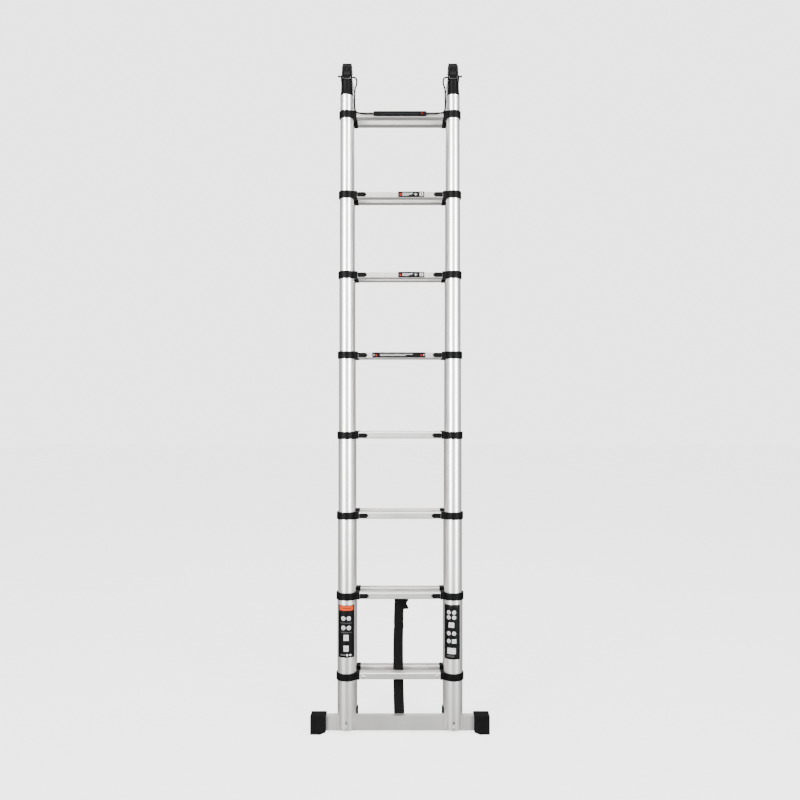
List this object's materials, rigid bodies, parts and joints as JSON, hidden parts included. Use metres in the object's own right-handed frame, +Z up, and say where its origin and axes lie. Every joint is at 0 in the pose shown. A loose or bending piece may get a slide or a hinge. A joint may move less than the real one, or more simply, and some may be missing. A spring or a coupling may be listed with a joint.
{
  "type": "telescoping ladder",
  "caption": "Double telescoping ladder: two sections of nested aluminium tubes and hollow rungs, joined by locking hinges, with thumb releases and a stabiliser bar.",
  "frame": {"origin": "on the ground, under the middle of the folded ladder", "axes": "+Z up along the tubes, +X to the right along the rungs, front section at -Y, back section at +Y"},
  "size_m": [0.67, 0.1626, 2.528],
  "materials": {
    "anodised_aluminium": "satin",
    "black_plastic": "satin",
    "black_rubber": "matt",
    "black_webbing": "woven",
    "black_cord": "braided",
    "hinge_metal": "zinc plated"
  },
  "bodies": {
    "front_base": {"front_stage_1_frame": "anodised_aluminium", "front_stage_1_collars": "black_plastic", "stabiliser_bar": "anodised_aluminium", "stabiliser_feet": "black_rubber", "carry_strap": "black_webbing"},
    "front_stage_2": {"front_stage_2_frame": "anodised_aluminium", "front_stage_2_collars": "black_plastic"},
    "front_stage_3": {"front_stage_3_frame": "anodised_aluminium", "front_stage_3_collars": "black_plastic"},
    "front_stage_4": {"front_stage_4_frame": "anodised_aluminium", "front_stage_4_collars": "black_plastic"},
    "front_stage_5": {"front_stage_5_frame": "anodised_aluminium", "front_stage_5_collars": "black_plastic"},
    "front_stage_6": {"front_stage_6_frame": "anodised_aluminium", "front_stage_6_collars": "black_plastic"},
    "front_stage_7": {"front_stage_7_frame": "anodised_aluminium", "front_stage_7_collars": "black_plastic", "hinge_front_arms": "black_plastic"},
    "back_base": {"back_stage_1_frame": "anodised_aluminium", "back_stage_1_collars": "black_plastic", "back_feet": "black_rubber"},
    "back_stage_2": {"back_stage_2_frame": "anodised_aluminium", "back_stage_2_collars": "black_plastic"},
    "back_stage_3": {"back_stage_3_frame": "anodised_aluminium", "back_stage_3_collars": "black_plastic"},
    "back_stage_4": {"back_stage_4_frame": "anodised_aluminium", "back_stage_4_collars": "black_plastic"},
    "back_stage_5": {"back_stage_5_frame": "anodised_aluminium", "back_stage_5_collars": "black_plastic"},
    "back_stage_6": {"back_stage_6_frame": "anodised_aluminium", "back_stage_6_collars": "black_plastic"},
    "back_stage_7": {"back_stage_7_frame": "anodised_aluminium", "back_stage_7_collars": "black_plastic", "hinge_back_arms": "hinge_metal"},
    "hinge_release": {"hinge_release_levers": "black_plastic", "release_cord": "black_cord"},
    "front_rung_2_release_left": {"front_rung_2_release_left": "black_plastic"},
    "front_rung_2_release_right": {"front_rung_2_release_right": "black_plastic"},
    "front_rung_3_release_left": {"front_rung_3_release_left": "black_plastic"},
    "front_rung_3_release_right": {"front_rung_3_release_right": "black_plastic"},
    "front_rung_4_release_left": {"front_rung_4_release_left": "black_plastic"},
    "front_rung_4_release_right": {"front_rung_4_release_right": "black_plastic"},
    "front_rung_5_release_left": {"front_rung_5_release_left": "black_plastic"},
    "front_rung_5_release_right": {"front_rung_5_release_right": "black_plastic"},
    "front_rung_6_release_left": {"front_rung_6_release_left": "black_plastic"},
    "front_rung_6_release_right": {"front_rung_6_release_right": "black_plastic"},
    "front_rung_7_release_left": {"front_rung_7_release_left": "black_plastic"},
    "front_rung_7_release_right": {"front_rung_7_release_right": "black_plastic"},
    "back_rung_2_release_left": {"back_rung_2_release_left": "black_plastic"},
    "back_rung_2_release_right": {"back_rung_2_release_right": "black_plastic"},
    "back_rung_3_release_left": {"back_rung_3_release_left": "black_plastic"},
    "back_rung_3_release_right": {"back_rung_3_release_right": "black_plastic"},
    "back_rung_4_release_left": {"back_rung_4_release_left": "black_plastic"},
    "back_rung_4_release_right": {"back_rung_4_release_right": "black_plastic"},
    "back_rung_5_release_left": {"back_rung_5_release_left": "black_plastic"},
    "back_rung_5_release_right": {"back_rung_5_release_right": "black_plastic"},
    "back_rung_6_release_left": {"back_rung_6_release_left": "black_plastic"},
    "back_rung_6_release_right": {"back_rung_6_release_right": "black_plastic"},
    "back_rung_7_release_left": {"back_rung_7_release_left": "black_plastic"},
    "back_rung_7_release_right": {"back_rung_7_release_right": "black_plastic"}
  },
  "joints": [
    {"name": "front_stage_2_slide", "type": "slide", "parent": "front_base", "child": "front_stage_2", "axis": [0, 0, 1], "range_m": [-0.27, 0]},
    {"name": "front_stage_3_slide", "type": "slide", "parent": "front_stage_2", "child": "front_stage_3", "axis": [0, 0, 1], "range_m": [-0.27, 0]},
    {"name": "front_stage_4_slide", "type": "slide", "parent": "front_stage_3", "child": "front_stage_4", "axis": [0, 0, 1], "range_m": [-0.27, 0]},
    {"name": "front_stage_5_slide", "type": "slide", "parent": "front_stage_4", "child": "front_stage_5", "axis": [0, 0, 1], "range_m": [-0.27, 0]},
    {"name": "front_stage_6_slide", "type": "slide", "parent": "front_stage_5", "child": "front_stage_6", "axis": [0, 0, 1], "range_m": [-0.27, 0]},
    {"name": "front_stage_7_slide", "type": "slide", "parent": "front_stage_6", "child": "front_stage_7", "axis": [0, 0, 1], "range_m": [-0.27, 0]},
    {"name": "hinge_fold", "type": "hinge", "parent": "front_stage_7", "child": "back_stage_7", "pos_m": [0, 0, 2.493], "axis": [1, 0, 0], "range_deg": [0, 180]},
    {"name": "back_stage_6_slide", "type": "slide", "parent": "back_stage_7", "child": "back_stage_6", "axis": [0, 0, 1], "range_m": [0, 0.27]},
    {"name": "back_stage_5_slide", "type": "slide", "parent": "back_stage_6", "child": "back_stage_5", "axis": [0, 0, 1], "range_m": [0, 0.27]},
    {"name": "back_stage_4_slide", "type": "slide", "parent": "back_stage_5", "child": "back_stage_4", "axis": [0, 0, 1], "range_m": [0, 0.27]},
    {"name": "back_stage_3_slide", "type": "slide", "parent": "back_stage_4", "child": "back_stage_3", "axis": [0, 0, 1], "range_m": [0, 0.27]},
    {"name": "back_stage_2_slide", "type": "slide", "parent": "back_stage_3", "child": "back_stage_2", "axis": [0, 0, 1], "range_m": [0, 0.27]},
    {"name": "back_base_slide", "type": "slide", "parent": "back_stage_2", "child": "back_base", "axis": [0, 0, 1], "range_m": [0, 0.27]},
    {"name": "hinge_release_slide", "type": "slide", "parent": "front_stage_7", "child": "hinge_release", "axis": [0, 0, -1], "range_m": [0, 0.008], "stiffness_N_per_m": 1500, "springref_m": -0.004},
    {"name": "front_rung_2_release_left_slide", "type": "slide", "parent": "front_base", "child": "front_rung_2_release_left", "axis": [1, 0, 0], "range_m": [0, 0.012], "stiffness_N_per_m": 800, "springref_m": -0.004},
    {"name": "front_rung_2_release_right_slide", "type": "slide", "parent": "front_base", "child": "front_rung_2_release_right", "axis": [-1, 0, 0], "range_m": [0, 0.012], "stiffness_N_per_m": 800, "springref_m": -0.004},
    {"name": "front_rung_3_release_left_slide", "type": "slide", "parent": "front_stage_2", "child": "front_rung_3_release_left", "axis": [1, 0, 0], "range_m": [0, 0.012], "stiffness_N_per_m": 800, "springref_m": -0.004},
    {"name": "front_rung_3_release_right_slide", "type": "slide", "parent": "front_stage_2", "child": "front_rung_3_release_right", "axis": [-1, 0, 0], "range_m": [0, 0.012], "stiffness_N_per_m": 800, "springref_m": -0.004},
    {"name": "front_rung_4_release_left_slide", "type": "slide", "parent": "front_stage_3", "child": "front_rung_4_release_left", "axis": [1, 0, 0], "range_m": [0, 0.012], "stiffness_N_per_m": 800, "springref_m": -0.004},
    {"name": "front_rung_4_release_right_slide", "type": "slide", "parent": "front_stage_3", "child": "front_rung_4_release_right", "axis": [-1, 0, 0], "range_m": [0, 0.012], "stiffness_N_per_m": 800, "springref_m": -0.004},
    {"name": "front_rung_5_release_left_slide", "type": "slide", "parent": "front_stage_4", "child": "front_rung_5_release_left", "axis": [1, 0, 0], "range_m": [0, 0.012], "stiffness_N_per_m": 800, "springref_m": -0.004},
    {"name": "front_rung_5_release_right_slide", "type": "slide", "parent": "front_stage_4", "child": "front_rung_5_release_right", "axis": [-1, 0, 0], "range_m": [0, 0.012], "stiffness_N_per_m": 800, "springref_m": -0.004},
    {"name": "front_rung_6_release_left_slide", "type": "slide", "parent": "front_stage_5", "child": "front_rung_6_release_left", "axis": [1, 0, 0], "range_m": [0, 0.012], "stiffness_N_per_m": 800, "springref_m": -0.004},
    {"name": "front_rung_6_release_right_slide", "type": "slide", "parent": "front_stage_5", "child": "front_rung_6_release_right", "axis": [-1, 0, 0], "range_m": [0, 0.012], "stiffness_N_per_m": 800, "springref_m": -0.004},
    {"name": "front_rung_7_release_left_slide", "type": "slide", "parent": "front_stage_6", "child": "front_rung_7_release_left", "axis": [1, 0, 0], "range_m": [0, 0.012], "stiffness_N_per_m": 800, "springref_m": -0.004},
    {"name": "front_rung_7_release_right_slide", "type": "slide", "parent": "front_stage_6", "child": "front_rung_7_release_right", "axis": [-1, 0, 0], "range_m": [0, 0.012], "stiffness_N_per_m": 800, "springref_m": -0.004},
    {"name": "back_rung_2_release_left_slide", "type": "slide", "parent": "back_base", "child": "back_rung_2_release_left", "axis": [1, 0, 0], "range_m": [0, 0.012], "stiffness_N_per_m": 800, "springref_m": -0.004},
    {"name": "back_rung_2_release_right_slide", "type": "slide", "parent": "back_base", "child": "back_rung_2_release_right", "axis": [-1, 0, 0], "range_m": [0, 0.012], "stiffness_N_per_m": 800, "springref_m": -0.004},
    {"name": "back_rung_3_release_left_slide", "type": "slide", "parent": "back_stage_2", "child": "back_rung_3_release_left", "axis": [1, 0, 0], "range_m": [0, 0.012], "stiffness_N_per_m": 800, "springref_m": -0.004},
    {"name": "back_rung_3_release_right_slide", "type": "slide", "parent": "back_stage_2", "child": "back_rung_3_release_right", "axis": [-1, 0, 0], "range_m": [0, 0.012], "stiffness_N_per_m": 800, "springref_m": -0.004},
    {"name": "back_rung_4_release_left_slide", "type": "slide", "parent": "back_stage_3", "child": "back_rung_4_release_left", "axis": [1, 0, 0], "range_m": [0, 0.012], "stiffness_N_per_m": 800, "springref_m": -0.004},
    {"name": "back_rung_4_release_right_slide", "type": "slide", "parent": "back_stage_3", "child": "back_rung_4_release_right", "axis": [-1, 0, 0], "range_m": [0, 0.012], "stiffness_N_per_m": 800, "springref_m": -0.004},
    {"name": "back_rung_5_release_left_slide", "type": "slide", "parent": "back_stage_4", "child": "back_rung_5_release_left", "axis": [1, 0, 0], "range_m": [0, 0.012], "stiffness_N_per_m": 800, "springref_m": -0.004},
    {"name": "back_rung_5_release_right_slide", "type": "slide", "parent": "back_stage_4", "child": "back_rung_5_release_right", "axis": [-1, 0, 0], "range_m": [0, 0.012], "stiffness_N_per_m": 800, "springref_m": -0.004},
    {"name": "back_rung_6_release_left_slide", "type": "slide", "parent": "back_stage_5", "child": "back_rung_6_release_left", "axis": [1, 0, 0], "range_m": [0, 0.012], "stiffness_N_per_m": 800, "springref_m": -0.004},
    {"name": "back_rung_6_release_right_slide", "type": "slide", "parent": "back_stage_5", "child": "back_rung_6_release_right", "axis": [-1, 0, 0], "range_m": [0, 0.012], "stiffness_N_per_m": 800, "springref_m": -0.004},
    {"name": "back_rung_7_release_left_slide", "type": "slide", "parent": "back_stage_6", "child": "back_rung_7_release_left", "axis": [1, 0, 0], "range_m": [0, 0.012], "stiffness_N_per_m": 800, "springref_m": -0.004},
    {"name": "back_rung_7_release_right_slide", "type": "slide", "parent": "back_stage_6", "child": "back_rung_7_release_right", "axis": [-1, 0, 0], "range_m": [0, 0.012], "stiffness_N_per_m": 800, "springref_m": -0.004}
  ]
}
